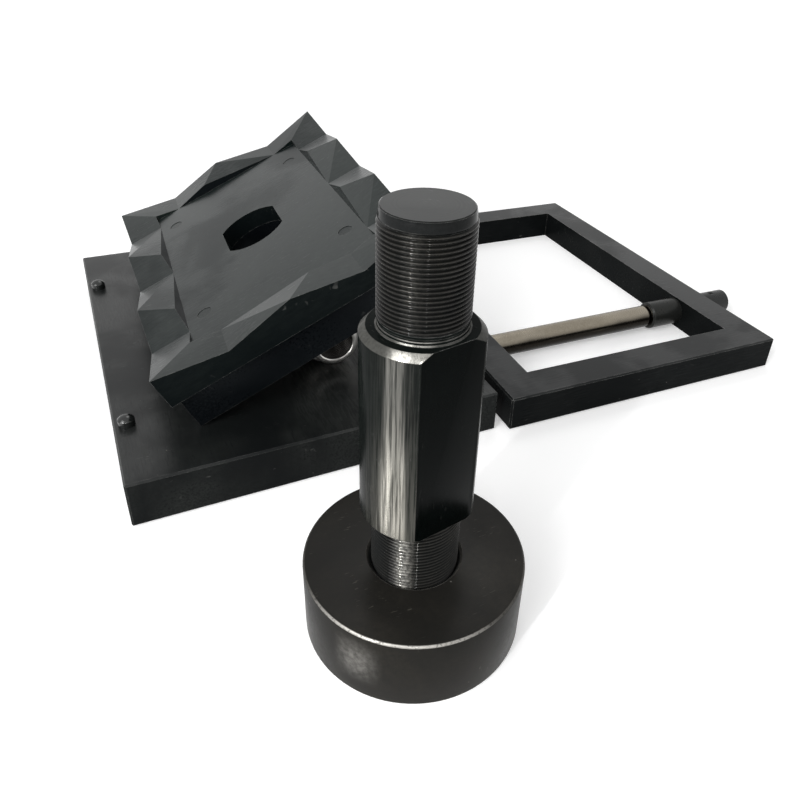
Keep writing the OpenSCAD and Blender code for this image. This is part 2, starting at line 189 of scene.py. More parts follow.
class StudioSettings(bpy.types.PropertyGroup):
    """Camera and lamps"""

    camera_place: point("Camera", "Place of the camera", (-0.08533, -0.39674, 0.24368))
    yaw: angle_of("Yaw", "Turn of the camera about the vertical", math.radians(-26.727))
    pitch: angle_of("Pitch", "How far the camera looks down", math.radians(30.849))
    roll: angle_of("Roll", "Roll of the camera", math.radians(2.532))
    lens: number("Lens", "Focal length on a sensor 36 mm wide, in mm", 33.114)
    shift: bpy.props.FloatVectorProperty(
        name="Shift", description="Shift of the frame", default=(-0.0354, -0.0699), size=2
    )
    sky: number("Sky", "Strength of the soft light from all sides", 0.5)
    key: number("Key", "Power of the large lamp, in watts", 15)
    rim: number("Rim", "Power of the lamp behind, in watts", 4)
    strip: number(
        "Strip", "Power of the narrow lamp on the left, in watts; the front one has half", 9
    )
    lift: number("Lift", "How much paler the camera sees the floor", 0.3)


SETTINGS = {
    "punch_set_stud": StudSizes,
    "punch_set_adapter": AdapterSizes,
    "punch_set_place": PunchPlace,
    "punch_set_colours": FinishColours,
    "punch_set_studio": StudioSettings,
}


# Node trees


class Nodes:
    """Adds nodes to one tree and links them in the same call."""

    def __init__(self, tree):
        self.tree = tree
        tree.nodes.clear()

    def add(self, kind, *values, named=None, **settings):
        node = self.tree.nodes.new(kind)
        node.location = (180 * (len(self.tree.nodes) % 12), -220 * (len(self.tree.nodes) // 12))
        for name, value in settings.items():
            setattr(node, name, value)
        for key, value in [*enumerate(values), *(named or {}).items()]:
            self.feed(node.inputs[key], value)
        return node

    def link(self, value, socket):
        self.tree.links.new(value, socket)

    def feed(self, socket, value):
        """Links a value that another node gives, or sets a plain one."""
        if isinstance(value, bpy.types.NodeSocket):
            self.link(value, socket)
        elif value is not None:
            socket.default_value = value

    def math(self, operation, *values, clamp=False):
        return self.add("ShaderNodeMath", *values, operation=operation, use_clamp=clamp).outputs[0]

    def plus(self, a, b):
        return self.math("ADD", a, b)

    def minus(self, a, b):
        return self.math("SUBTRACT", a, b)

    def most(self, a, b):
        return self.math("MAXIMUM", a, b)

    def times(self, product, *values):
        for value in values:
            product = self.math("MULTIPLY", product, value)
        return product

    def vector(self, operation, *values):
        return self.add("ShaderNodeVectorMath", *values, operation=operation).outputs[0]

    def gap(self, a, b):
        """How far two values are apart."""
        return self.math("ABSOLUTE", self.minus(a, b))

    def split(self, vector):
        return self.add("ShaderNodeSeparateXYZ", vector).outputs

    def reach(self, x, y):
        """Distance from the z axis."""
        return self.math("SQRT", self.plus(self.times(x, x), self.times(y, y)))

    def rise(self):
        """How much the surface looks up in the scene, from -1 to 1."""
        return self.split(self.add("ShaderNodeNewGeometry").outputs["Normal"])[2]

    def own_rise(self):
        """How much the surface looks along its object's own z axis, from -1 to 1."""
        return self.split(self.add("ShaderNodeTexCoord").outputs["Normal"])[2]

    def seen_ray(self):
        """1 for camera, glossy and transmission rays, 0 for the soft light that bounces."""
        ray = self.add("ShaderNodeLightPath").outputs
        direct = self.most(ray["Is Camera Ray"], ray["Is Glossy Ray"])
        return self.most(direct, ray["Is Transmission Ray"])

    def mix(self, factor, a, b):
        """Mixes two colours."""
        node = self.add("ShaderNodeMix", factor, data_type="RGBA")
        for key, tone in ((6, a), (7, b)):
            linked = isinstance(tone, bpy.types.NodeSocket)
            self.feed(node.inputs[key], tone if linked else (*tone, 1))
        return node.outputs[2]

    def ramp(self, value, low, high, to_low=0.0, to_high=1.0):
        """Maps low..high to to_low..to_high smoothly, held beyond both ends."""
        return self.add(
            "ShaderNodeMapRange", value, low, high, to_low, to_high,
            interpolation_type="SMOOTHSTEP",
        ).outputs[0]

    def noise(self, place, scale, detail=2.0, rough=0.5, warp=0.0):
        return self.add(
            "ShaderNodeTexNoise",
            named={"Vector": place, "Scale": scale, "Detail": detail, "Roughness": rough,
                   "Distortion": warp},
        ).outputs[0]

    def line_noise(self, value, scale):
        return self.add(
            "ShaderNodeTexNoise", noise_dimensions="1D",
            named={"W": value, "Scale": scale, "Detail": 3.0},
        ).outputs[0]

    def group(self, tree, **values):
        """Places a shared group, with values for its inputs."""
        kind = "ShaderNodeGroup" if tree.bl_idname == "ShaderNodeTree" else "GeometryNodeGroup"
        node = self.add(kind, node_tree=tree)
        for name, value in values.items():
            self.feed(node.inputs[name.capitalize()], value)
        return node


def shared_group(name, inputs, outputs, kind="ShaderNodeTree", output_type="NodeSocketFloat"):
    """A new group: its nodes, its inputs and its output node.

    Inputs holds a default for each input, whose type is also that of the socket.
    """
    types = {float: "NodeSocketFloat", int: "NodeSocketInt", tuple: "NodeSocketVector"}
    tree = bpy.data.node_groups.new(name, kind)
    for label, default in inputs.items():
        tree.interface.new_socket(
            label, in_out="INPUT", socket_type=types[type(default)]
        ).default_value = default
    for label in outputs:
        tree.interface.new_socket(label, in_out="OUTPUT", socket_type=output_type)
    nodes = Nodes(tree)
    return nodes, nodes.add("NodeGroupInput").outputs, nodes.add("NodeGroupOutput").inputs


def found_group(name, build):
    """The group of this name, built on first use."""
    return bpy.data.node_groups.get(name) or build(name)


def build_edge_wear(name):
    """Rubbed edges: where the surface turns within Radius, broken up by noise."""
    n, given, out = shared_group(
        name, {"Place": ORIGIN, "Radius": 0.5 * MM, "Amount": 1.0, "Breakup": 300.0}, ["Mask"]
    )
    rounded = n.add("ShaderNodeBevel", given["Radius"], samples=6).outputs[0]
    flat = n.add("ShaderNodeNewGeometry").outputs["Normal"]
    alike = n.add("ShaderNodeVectorMath", rounded, flat, operation="DOT_PRODUCT").outputs["Value"]
    broken = n.ramp(n.noise(given["Place"], given["Breakup"], 3.0, 0.6), 0.35, 0.65, 0.15, 1.0)
    worn = n.times(n.ramp(n.minus(1.0, alike), 0.01, 0.12), broken)
    n.link(n.math("MULTIPLY", worn, given["Amount"], clamp=True), out["Mask"])
    return n.tree


def build_grain(name):
    """Fine grain of a ground or blasted face, drawn out by Stretch."""
    n, given, out = shared_group(
        name, {"Place": ORIGIN, "Stretch": (1, 1, 1), "Scale": 900.0}, ["Fine", "Broad", "Height"]
    )
    place, scale = given["Place"], given["Scale"]
    fine = n.noise(n.vector("MULTIPLY", place, given["Stretch"]), scale, 3.0, 0.65)
    even = n.noise(place, n.times(scale, 1.6), 2.0)
    broad = n.noise(place, n.times(scale, 0.022), 4.0, 0.6, 0.4)
    n.link(fine, out["Fine"])
    n.link(n.ramp(broad, 0.3, 0.7), out["Broad"])
    n.link(n.plus(n.times(fine, 0.6), n.times(even, 0.4)), out["Height"])
    return n.tree


def build_nicks(name):
    """Short fine scratches in three directions, gathered in patches."""
    n, given, out = shared_group(
        name, {"Place": ORIGIN, "Scale": 300.0, "Amount": 0.5}, ["Mask"]
    )
    place, scale = given["Place"], given["Scale"]
    crossed = 0.0
    for turn, thin in ((0.5, 9.0), (-0.9, 12.0), (1.75, 7.0)):
        turned = n.add(
            "ShaderNodeMapping", place,
            named={"Rotation": (0.3 * turn, 0.2, turn), "Scale": (1.0, thin, 1.0)},
        ).outputs[0]
        lines = n.ramp(n.noise(turned, scale, 0.0, 0.5, 0.6), 0.77, 0.84)
        crossed = n.most(crossed, lines)
    patch = n.ramp(n.noise(place, n.times(scale, 0.3), 2.0), 0.5, 0.72)
    n.link(n.math("MULTIPLY", n.times(crossed, patch), given["Amount"], clamp=True), out["Mask"])
    return n.tree


def build_specks(name):
    """Small bright pits and grains of dust, of mixed sizes."""
    n, given, out = shared_group(
        name, {"Place": ORIGIN, "Scale": 260.0, "Size": 0.12, "Share": 0.3}, ["Mask"]
    )
    cells = n.add("ShaderNodeTexVoronoi", named={"Vector": given["Place"], "Scale": given["Scale"]})
    draw, sized, toned = n.add("ShaderNodeSeparateColor", cells.outputs["Color"]).outputs
    chosen = n.math("LESS_THAN", draw, given["Share"])
    size = n.times(given["Size"], n.plus(n.times(sized, sized), 0.3))
    spot = n.ramp(n.math("DIVIDE", cells.outputs["Distance"], size), 0.6, 1.1, 1.0, 0.0)
    n.link(n.times(spot, chosen, n.ramp(toned, 0.0, 1.0, 0.2, 1.0)), out["Mask"])
    return n.tree


def build_turned_marks(name):
    """Tool marks of a lathe: rings on end faces and lines round the sides."""
    n, given, out = shared_group(name, {"Place": ORIGIN, "Scale": 2500.0}, ["Height"])
    x, y, z = n.split(given["Place"])
    rings = n.line_noise(n.reach(x, y), given["Scale"])
    rounds = n.line_noise(z, given["Scale"])
    n.link(n.times(n.plus(rings, rounds), 0.5), out["Height"])
    return n.tree


def build_thread(name):
    """A helical thread skin, open at both ends, in turns of equal pitch.

    Every row of the grid runs along the helix, so crests and roots follow the mesh's edges.
    Side is 1 for a screw and -1 for a tapped hole. Both ends are chamfered to the root.
    """
    n, given, out = shared_group(
        name,
        {"Radius": 0.01, "Depth": 0.001, "Length": 0.02, "Turns": 10, "Segments": SEGMENTS,
         "Rows": THREAD_ROWS, "Side": 1.0, "Start": ORIGIN},
        ["Mesh"], "GeometryNodeTree", "NodeSocketGeometry",
    )
    length, depth, turns, side = (given[label] for label in ("Length", "Depth", "Turns", "Side"))
    all_rows = n.times(n.plus(turns, 1.0), given["Rows"])
    grid = n.add("GeometryNodeMeshGrid", 1.0, 1.0, n.plus(given["Segments"], 1.0),
                 n.plus(all_rows, 1.0)).outputs["Mesh"]
    across, up, _ = n.split(n.add("GeometryNodeInputPosition").outputs[0])
    around = n.plus(across, 0.5)
    row = n.times(n.plus(up, 0.5), n.plus(turns, 1.0))
    turn = n.minus(n.plus(row, around), 1.0)
    held = n.math("MINIMUM", n.most(turn, 0.0), turns)
    height = n.times(held, n.math("DIVIDE", length, turns))
    wave = n.times(n.math("PINGPONG", row, 0.5), 2.0)
    flank = n.math("DIVIDE", n.minus(wave, CREST_SHARE), FLANK_SHARE, clamp=True)
    to_end = n.math("MINIMUM", height, n.minus(length, height))
    cut = n.most(n.times(flank, depth), n.minus(depth, to_end))
    radius = n.minus(given["Radius"], n.times(cut, side))
    angle = n.times(around, 2 * math.pi)
    place = n.add("ShaderNodeCombineXYZ", n.times(radius, n.math("COSINE", angle)),
                  n.times(radius, n.math("SINE", angle)), height).outputs[0]
    skin = n.add("GeometryNodeSetPosition",
                 named={"Geometry": grid, "Position": n.vector("ADD", place, given["Start"])})
    turned = n.add("GeometryNodeFlipFaces", skin.outputs[0], n.math("LESS_THAN", side, 0.0))
    n.link(turned.outputs[0], out["Mesh"])
    return n.tree


def local_place(n, origin, turn):
    """Object coordinates measured from a piece's own origin and along its own axes."""
    seen = n.add("ShaderNodeTexCoord").outputs["Object"]
    moved = n.vector("SUBTRACT", seen, origin)
    if not any(turn):
        return moved
    return n.add("ShaderNodeVectorRotate", moved, named={"Rotation": turn},
                 rotation_type="EULER_XYZ", invert=True).outputs[0]


def worn_metal(name, place, tone=None, cloud=None, bare=None, metallic=0.0, rough=0.3,
               spread=0.1, stretch=(1, 1, 1), grain=900.0, bump=0.006, wear=0.4,
               wear_radius=0.3, nicks=0.12, speck=0.3, marks=0.0, mark_scale=2500.0,
               specular=0.3, tint=(1, 1, 1), ior=1.5, oil=0.0, shape=None):
    """A metal finish: brushed grain and broad clouds over a tone, worn edges, nicks and specks.

    Tone, cloud and bare are black oxide, rubbed oxide and bare steel where none is given.
    Bump and wear_radius are in mm. Oil is a thin clear film on faces that look up.
    Shape, where given, is called with the nodes, the place and the tones so far, and returns
    the colour, the roughness and the metallic share to use.
    """
    colours = bpy.context.scene.punch_set_colours
    material = bpy.data.materials.new(name)
    material.use_nodes = True
    n = Nodes(material.node_tree)
    at = local_place(n, *place)
    fine, broad, height = n.group(found_group("Surface grain", build_grain), place=at,
                                  stretch=stretch, scale=grain).outputs
    clouded = n.times(broad, n.ramp(fine, 0.3, 0.7, 0.45, 1.0))
    colour = n.mix(clouded, tone or colours.oxide, cloud or colours.oxide_rubbed)
    swing = n.times(n.minus(fine, 0.5), spread * 2)
    roughness = n.plus(swing, n.math("MULTIPLY_ADD", broad, -spread, rough + spread / 2))
    metal = metallic
    if shape:
        colour, roughness, metal = shape(n, at, colour, roughness, fine, broad)
    worn = n.group(found_group("Edge wear", build_edge_wear), place=at, radius=wear_radius * MM,
                   amount=wear, breakup=260.0).outputs[0]
    lines = n.group(found_group("Nicks", build_nicks), place=at, scale=260.0,
                    amount=nicks).outputs[0]
    rubbed = n.most(worn, lines)
    colour = n.mix(rubbed, colour, bare or colours.bare_steel)
    spots = n.group(found_group("Specks", build_specks), place=at, scale=330.0, size=0.1,
                    share=0.08).outputs[0]
    colour = n.mix(n.times(spots, speck), colour, colours.dust)
    relief = height
    if marks:
        tool = n.group(found_group("Turned marks", build_turned_marks), place=at,
                       scale=mark_scale).outputs[0]
        relief = n.plus(n.times(height, 0.3), n.times(tool, marks))
        roughness = n.plus(roughness, n.times(n.minus(tool, 0.5), 0.15))
    cut = n.minus(relief, n.times(lines, 0.5))
    normal = n.add("ShaderNodeBump", named={"Strength": 1.0, "Distance": bump * MM, "Height": cut})
    shader = n.add("ShaderNodeBsdfPrincipled", named={
        "Base Color": colour,
        "Metallic": n.math("MAXIMUM", metal, rubbed, clamp=True),
        "Roughness": n.math("ADD", roughness, n.times(rubbed, -0.05), clamp=True),
        "Normal": normal.outputs[0],
    })
    shader.inputs["Specular IOR Level"].default_value = specular
    shader.inputs["Specular Tint"].default_value = (*tint, 1)
    shader.inputs["IOR"].default_value = ior
    if oil:
        film = n.times(n.ramp(n.own_rise(), 0.45, 0.8, 0.0, oil),
                       n.ramp(broad, 0.25, 0.75, 0.76, 1.08))
        n.link(film, shader.inputs["Coat Weight"])
        shader.inputs["Coat Roughness"].default_value = 0.3
    n.add("ShaderNodeOutputMaterial", shader.outputs[0])
    return material


def dress(node, material):
    """Gives a node of the frame its material, on every slot."""
    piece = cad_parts[node]
    if not piece.data.materials:
        piece.data.materials.append(material)
    for slot in piece.material_slots:
        slot.material = material


# Meshes


def new_object(name, mesh):
    piece = bpy.data.objects.new(name, mesh)
    bpy.context.scene.collection.objects.link(piece)
    return piece


def arc(centre_r, centre_z, radius, start, end):
    """Points of an arc in a turned profile, from start to end in degrees."""
    for i in range(ARC_STEPS + 1):
        a = math.radians(start + (end - start) * i / ARC_STEPS)
        yield centre_r + radius * math.cos(a), centre_z + radius * math.sin(a)


def turned_shell(bm, profile, segments=SEGMENTS):
    """Turns (radius, height) points about z and returns the faces.

    Points that run up the outside face outwards.
    """
    rings, faces = [], []
    for r, z in profile:
        if r == 0:
            rings.append([bm.verts.new((0, 0, z))])
            continue
        spots = [2 * math.pi * i / segments for i in range(segments)]
        rings.append([bm.verts.new((r * math.cos(a), r * math.sin(a), z)) for a in spots])
    for low, high in zip(rings, rings[1:]):
        for i in range(segments):
            j = (i + 1) % segments
            corners = [low[i % len(low)], low[j % len(low)], high[j % len(high)],
                       high[i % len(high)]]
            faces.append(bm.faces.new(dict.fromkeys(corners)))
    return faces


def mesh_from(bm, name):
    mesh = bpy.data.meshes.new(name)
    bm.to_mesh(mesh)
    bm.free()
    return mesh


def finish_smooth(piece):
    """Smooth shading, with sharp edges left crisp."""
    piece.data.polygons.foreach_set("use_smooth", [True] * len(piece.data.polygons))
    piece.data.set_sharp_from_angle(angle=SHARP)


def made_real(piece):
    """Replaces the piece's mesh by its evaluated one and removes the modifiers."""
    seen = piece.evaluated_get(bpy.context.evaluated_depsgraph_get())
    mesh = bpy.data.meshes.new_from_object(seen)
    piece.modifiers.clear()
    old, piece.data = piece.data, mesh
    bpy.data.meshes.remove(old)


def threads_on(piece, threads):
    """Adds threads to a piece: one Geometry Nodes modifier with a thread group for each.

    Threads holds dicts of the group's values with a material and, for a blind or solid end,
    the names of the ends to close.
    """
    labels = ("Radius", "Depth", "Length")
    sizes = {f"{label} {number}": spec[label.lower()]
             for number, spec in enumerate(threads, 1) for label in labels}
    tree = bpy.data.node_groups.new(piece.name + " threads", "GeometryNodeTree")
    tree.interface.new_socket("Piece", in_out="INPUT", socket_type="NodeSocketGeometry")
    for label in sizes:
        tree.interface.new_socket(label, in_out="INPUT", socket_type="NodeSocketFloat")
    tree.interface.new_socket("Piece", in_out="OUTPUT", socket_type="NodeSocketGeometry")
    n = Nodes(tree)
    given, out = n.add("NodeGroupInput").outputs, n.add("NodeGroupOutput").inputs
    join = n.add("GeometryNodeJoinGeometry")
    n.link(given["Piece"], join.inputs[0])
    for number, spec in enumerate(threads, 1):
        start, side = spec["start"], spec["side"]
        radius, depth, length = (given[f"{label} {number}"] for label in labels)
        skin = n.group(
            found_group("Helical thread", build_thread), radius=radius, depth=depth,
            length=length, turns=spec["turns"], segments=SEGMENTS, rows=THREAD_ROWS, side=side,
            start=start,
        ).outputs[0]
        rod = n.add("GeometryNodeJoinGeometry")
        n.link(n.add("GeometryNodeSetShadeSmooth", skin, True, True).outputs[0], rod.inputs[0])
        root = n.minus(radius, n.times(depth, side))
        for end in spec["closed"]:
            lid = n.add("GeometryNodeMeshCircle", SEGMENTS, root, fill_type="NGON").outputs[0]
            rise = length if end == "top" else 0.0
            shift = n.add("ShaderNodeCombineXYZ", 0.0, 0.0, rise).outputs[0]
            moved = n.add("GeometryNodeTransform", named={
                "Geometry": lid, "Translation": n.vector("ADD", shift, start)}).outputs[0]
            upwards = (end == "top") == (side > 0)
            if not upwards:
                moved = n.add("GeometryNodeFlipFaces", moved).outputs[0]
            n.link(moved, rod.inputs[0])
        finished = n.add("GeometryNodeSetMaterial", rod.outputs[0], True, spec["material"])
        n.link(finished.outputs[0], join.inputs[0])
    sealed = n.add("GeometryNodeMergeByDistance", join.outputs[0],
                   named={"Distance": SEAM}).outputs[0]
    n.link(n.add("GeometryNodeRealizeInstances", sealed).outputs[0], out["Piece"])
    modifier = piece.modifiers.new("Threads", "NODES")
    modifier.node_group = tree
    for item in tree.interface.items_tree:
        if item.name in sizes:
            modifier[item.identifier] = sizes[item.name]
    made_real(piece)


def turned_piece(name, bm, materials, threads, place):
    """An object made from a turned mesh and its threads, moved to its place on the frame."""
    piece = new_object(name, mesh_from(bm, name))
    for material in materials:
        piece.data.materials.append(material)
    finish_smooth(piece)
    threads_on(piece, threads)
    origin, turn = place
    piece.data.transform(Matrix.Translation(origin) @ Euler(turn).to_matrix().to_4x4())
    return piece


def standing_in(piece, body, slot, *nodes):
    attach(piece, body)
    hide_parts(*nodes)


def node_centre(node):
    low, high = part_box(node)
    return (Vector(low) + Vector(high)) / 2, Vector(low), Vector(high)


# Finishes that several pieces share


def axes(turn, about_z):
    """A turn followed by one about the vertical, as Euler angles."""
    both = Euler(turn).to_matrix()
    both.rotate(Euler((0, 0, about_z)))
    return tuple(both.to_euler())


def punch_place():
    """Origin and turn of the punch's own axes."""
    place = bpy.context.scene.punch_set_place
    return tuple(place.edge), axes((0, -place.tilt, 0), place.turn)


def die_place():
    centre, _, _ = node_centre("die_frame")
    return tuple(centre), (0, 0, bpy.context.scene.punch_set_place.die_turn)


def bar_place():
    """Origin on the cross bar with z along it."""
    centre, _, _ = node_centre("cross_bar")
    return tuple(centre), axes((0, math.pi / 2, 0), bpy.context.scene.punch_set_place.die_turn)


def stud_place():
    centre, low, _ = node_centre("counter_nut")
    turn = bpy.context.scene.punch_set_stud.flat_turn
    return (centre.x, centre.y, low.z), (0, 0, turn)


def neck_radius(size):
    """Radius of the stud between body and upper thread."""
    return size.top_radius - size.depth / 3


def adapter_place():
    """Origin at the nose's end with z along the adapter."""
    place = bpy.context.scene.punch_set_place
    size = bpy.context.scene.punch_set_adapter
    centre, low, high = node_centre("adapter")
    along = Matrix.Rotation(place.turn, 3, "Z") @ Vector((0, 1, 0))
    start = centre - along * (size.length + size.nose_length) / 2
    start.z = (low.z + high.z) / 2
    return tuple(start), axes((-math.pi / 2, 0, 0), place.turn)


# Operators


class PUNCH_SET_OT_base_plate(bpy.types.Operator):
    """Finish of the base plate, its guide bush and the screws"""

    bl_idname = "punch_set.base_plate"
    bl_label = "Base plate"

    def execute(self, context):
        colours = context.scene.punch_set_colours
        dress("base_plate", worn_metal(
            "plate_oxide", AS_BUILT, stretch=(1.0, 0.12, 1.0), grain=800.0, specular=0.05,
            wear=0.25, oil=0.52,
        ))
        dress("guide_bush", worn_metal(
            "bush_steel", AS_BUILT, colours.oxide_rubbed, colours.warm_steel, metallic=0.7,
            rough=0.35, marks=0.7,
        ))
        screw = worn_metal("screw_oxide", AS_BUILT, rough=0.28, wear=0.6, wear_radius=0.2)
        for number in range(1, 5):
            dress(f"bush_screw_{number}", screw)
        return {"FINISHED"}


class PUNCH_SET_OT_locating_pins(bpy.types.Operator):
    """Finish of the four locating pins"""

    bl_idname = "punch_set.locating_pins"
    bl_label = "Locating pins"

    def execute(self, context):
        for number in range(1, 5):
            centre, low, _ = node_centre(f"locating_pin_{number}")
            dress(f"locating_pin_{number}", worn_metal(
                f"pin_steel_{number}", ((centre.x, centre.y, low.z), NO_TURN), rough=0.16,
                specular=0.5, wear=0.5, marks=0.6, mark_scale=4000.0,
            ))
        return {"FINISHED"}


class PUNCH_SET_OT_die(bpy.types.Operator):
    """Finish of the die and its bar bush"""

    bl_idname = "punch_set.die"
    bl_label = "Die"

    def execute(self, context):
        colours = context.scene.punch_set_colours
        dress("die_frame", worn_metal(
            "die_oxide", die_place(), cloud=DIE_CLOUD, stretch=(0.12, 1.0, 1.0), grain=800.0,
            rough=0.28, specular=0.02, wear=0.5, wear_radius=0.5, tint=(0.94, 0.97, 1.0),
            oil=0.56,
        ))
        dress("bar_bush", worn_metal(
            "bar_bush_steel", bar_place(), colours.oxide_rubbed, SLEEVE_CLOUD, metallic=0.3,
            specular=0.15, marks=0.8,
        ))
        return {"FINISHED"}


def shaded_underside(n, at, colour, roughness, fine, broad):
    """Bare steel on top of the bar, painted shade below: a dark colour on the side that looks down.
    """
    ragged = n.plus(n.rise(), n.times(n.minus(broad, 0.5), 0.3))
    return n.mix(n.ramp(ragged, 0.1, 0.85), BAR_UNDERSIDE_SHADE, colour), roughness, 1.0


class PUNCH_SET_OT_cross_bar(bpy.types.Operator):
    """Finish of the cross bar, its knob and the knob's screw"""

    bl_idname = "punch_set.cross_bar"
    bl_label = "Cross bar"

    def execute(self, context):
        dress("cross_bar", worn_metal(
            "polished_bar", bar_place(), *BAR_TONES, context.scene.punch_set_colours.polished,
            metallic=1.0, rough=0.26, bump=0.003, wear=0.0, nicks=0.3, marks=0.5,
            mark_scale=5000.0, shape=shaded_underside,
        ))
        dress("bar_knob", worn_metal("knob_oxide", bar_place(), marks=0.6))
        dress("knob_screw", bpy.data.materials["screw_oxide"])
        return {"FINISHED"}


def shaded_walls(n, at, colour, roughness, fine, broad):
    """Painted shade in near black on the upright walls, and on the short steep walls where the
    teeth end, least on those that face left.
    """
    seen = n.add("ShaderNodeTexCoord").outputs["Normal"]
    own = n.add("ShaderNodeVectorRotate", seen, named={"Rotation": punch_place()[1]},
                rotation_type="EULER_XYZ", invert=True).outputs[0]
    across, _, rise = n.split(own)
    steep = n.times(n.ramp(rise, 0.15, 0.3), n.ramp(rise, 0.8, 0.92, 1.0, 0.0),
                    n.ramp(across, -0.6, -0.3, 0.15, 0.9))
    upright = n.ramp(n.math("ABSOLUTE", rise), 0.02, 0.1, 0.65, 0.0)
    # Painted shade: the walls are darkened where little light reaches them
    wall_shade = n.most(steep, upright)
    return n.mix(wall_shade, colour, BLACK_AND_SHADE), n.most(roughness, wall_shade), 0.0


class PUNCH_SET_OT_punch(bpy.types.Operator):
    """Finish of the toothed cutter, its backing plate and their screws"""

    bl_idname = "punch_set.punch"
    bl_label = "Punch"

    def execute(self, context):
        place = punch_place()
        dress("punch_cutter", worn_metal(
            "cutter_oxide", place, *CUTTER_TONES, stretch=(0.3, 1.0, 1.0), grain=600.0,
            rough=0.28, bump=0.008, specular=0.05, wear=0.35, tint=(0.88, 1.0, 1.0), oil=0.5,
            shape=shaded_walls,
        ))
        dress("punch_backing", worn_metal(
            "backing_oxide", place, *BACKING_TONES, stretch=(1.0, 0.3, 1.0), specular=0.08,
            wear=0.15, nicks=0.05, tint=(0.85, 0.95, 1.0),
        ))
        ends = worn_metal(
            "screw_end_oxide", place, *CUTTER_TONES, wear=0.1, wear_radius=0.2, specular=0.05,
            oil=0.38,
        )
        for number in range(1, 5):
            dress(f"punch_screw_{number}", ends)
        return {"FINISHED"}


def thread_tone(crest, depth, worn_side, worn):
    """Rubbed crests over black roots, and down one side a band of bare steel that is partly wear
    and partly a painted reflection.
    """

    def shape(n, at, colour, roughness, fine, broad):
        x, y, _ = n.split(at)
        top = n.ramp(n.reach(x, y), crest - 0.28 * depth, crest - 0.02 * depth)
        rubbed = n.times(top, n.ramp(fine, 0.3, 0.7, 0.4, 1.0), n.ramp(broad, 0.0, 1.0, 0.25, 1.0))
        # Band down one side: bare steel, partly wear and partly a painted reflection
        off = n.gap(n.math("ARCTAN2", y, x), worn_side)
        band = n.times(n.ramp(off, 0.02, 0.3, worn, 0.0), n.ramp(fine, 0.35, 0.65, 0.2, 1.0),
                       n.ramp(broad, 0.2, 0.7, 0.4, 1.0))
        toned = n.mix(band, n.mix(rubbed, colour, CREST_RUBBED), THREAD_BARE_AND_SHEEN)
        smoother = n.math("MULTIPLY_ADD", rubbed, -0.06, roughness)
        return toned, smoother, n.most(rubbed, band)

    return shape


def body_wear_and_sheen(worn_side, foot, height):
    """Black oxide with a streaked band of bare steel down one side, most of all low down, and on
    the shoulder chamfer beside it: partly wear, partly a painted reflection of the lamps and the
    lit floor.
    """

    def shape(n, at, colour, roughness, fine, broad):
        x, y, z = n.split(at)
        drawn = n.vector("MULTIPLY", at, (1.0, 1.0, 0.03))
        streak = n.noise(drawn, 1300.0, 3.0, 0.6)
        wide = n.noise(drawn, 330.0, 2.0, 0.5)
        # Low is 1 at the body's foot: the band is wider and brighter low down, as a painted
        # reflection of the lit floor
        low = n.ramp(n.math("DIVIDE", n.minus(z, foot), height), 0.0, 0.95, 1.0, 0.0)
        turn = n.minus(n.math("ARCTAN2", y, x), worn_side)
        off = n.math("DIVIDE", turn, n.math("MULTIPLY_ADD", low, 0.5, 1.0))
        # The band: bare steel, partly wear and partly a painted reflection of the lamps
        core = n.times(n.ramp(off, -0.30, -0.06), n.ramp(off, 0.03, 0.15, 1.0, 0.0))
        near = n.times(n.ramp(off, -0.65, -0.1, 0.0, 0.09), n.ramp(off, 0.1, 0.4, 1.0, 0.5))
        band = n.times(
            n.most(core, near), n.ramp(streak, 0.34, 0.62, 0.2, 1.0),
            n.ramp(wide, 0.32, 0.6, 0.4, 1.0), n.math("MULTIPLY_ADD", low, 0.4, 0.7),
        )
        haze = n.times(n.ramp(streak, 0.4, 0.75), 0.01)
        up = n.rise()
        side = n.times(n.most(band, haze), n.ramp(up, 0.2, 0.4, 1.0, 0.0),
                       n.math("LESS_THAN", z, foot + height - 0.1 * MM))
        aside = n.gap(off, 0.2)
        # Bare steel on the shoulder chamfer, brightest beside the band: partly wear, partly a
        # painted reflection
        shoulder_sheen = n.times(
            n.ramp(up, 0.3, 0.5), n.ramp(up, 0.8, 0.9, 1.0, 0.0),
            n.ramp(aside, 0.15, 0.5, 0.9, 0.16), n.ramp(fine, 0.3, 0.6, 0.6, 1.0),
        )
        shown = n.math("MAXIMUM", side, shoulder_sheen, clamp=True)
        return n.mix(shown, colour, n.mix(low, *BODY_BARE_AND_SHEEN)), roughness, shown

    return shape


